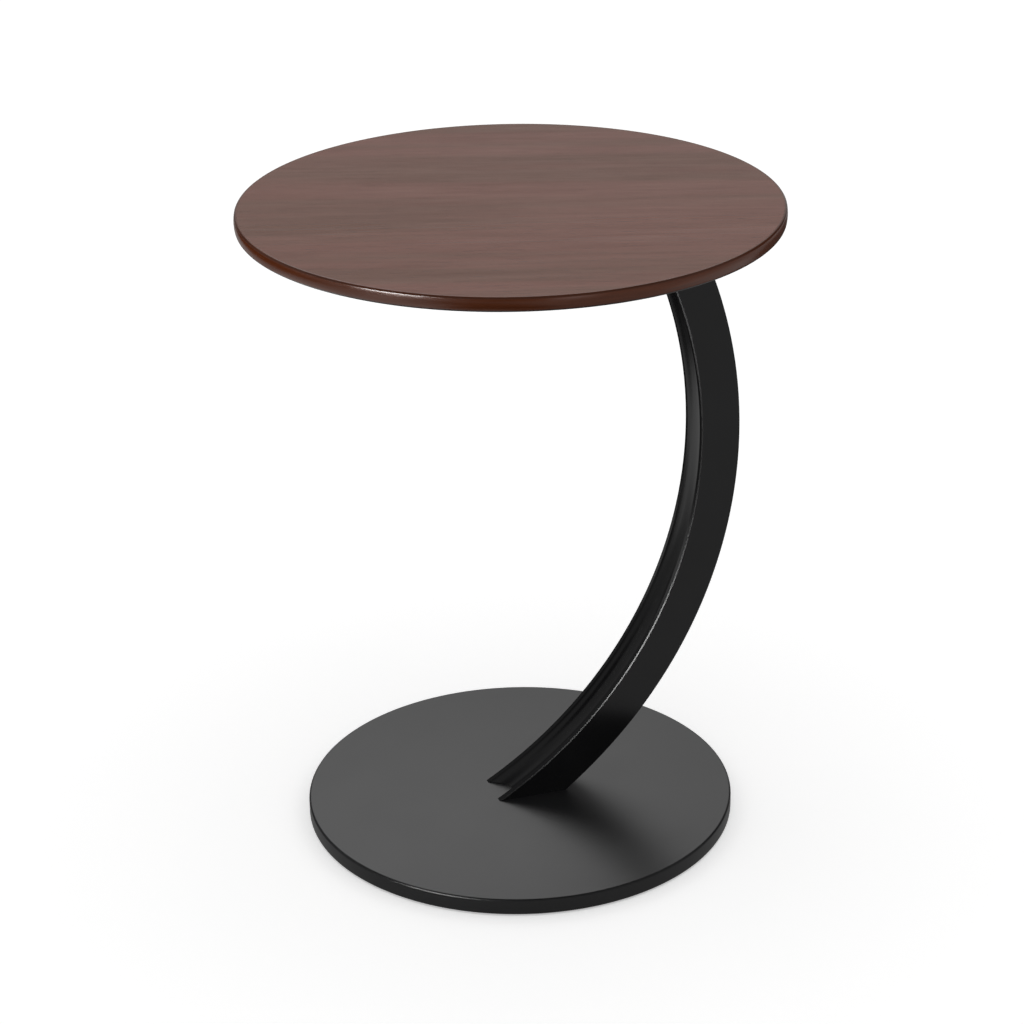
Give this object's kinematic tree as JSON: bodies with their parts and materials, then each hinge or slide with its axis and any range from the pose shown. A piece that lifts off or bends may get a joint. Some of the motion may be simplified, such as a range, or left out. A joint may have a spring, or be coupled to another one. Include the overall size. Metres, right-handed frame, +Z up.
{
  "type": "c shaped side table",
  "caption": "Low side table with a round wood-veneered top, one arched grooved steel column and a round flat steel base, open on one side to reach over a seat.",
  "frame": {"origin": "on the floor, under the common centre of the round base and the round top", "axes": "+Z up; the column's arch lies in the XZ plane and bulges towards +X, so the table is open towards -X; Y runs across the column"},
  "size_m": [0.3999, 0.4, 0.5],
  "materials": {
    "top_veneer": "dark walnut veneer under satin lacquer",
    "backing_veneer": "plain balancing veneer, thin matt lacquer",
    "edge_band": "stained solid-wood edge under gloss lacquer",
    "fibreboard": "raw medium-density fibreboard",
    "black_paint": "satin black powder coat, fine texture",
    "black_zinc": "black zinc plating",
    "zinc_steel": "bright zinc plating",
    "pad_foam": "black closed-cell foam pad"
  },
  "bodies": {
    "root": {"top_veneer": "top_veneer", "backing_veneer": "backing_veneer", "edge_band": "edge_band", "top_core": "fibreboard", "column": "black_paint", "top_plate": "black_paint", "base_plate": "black_paint", "top_screws": "black_zinc", "head_screws": "zinc_steel", "base_bolts": "zinc_steel", "lock_washers": "zinc_steel", "flat_washers": "zinc_steel", "floor_pads": "pad_foam"}
  },
  "joints": []
}
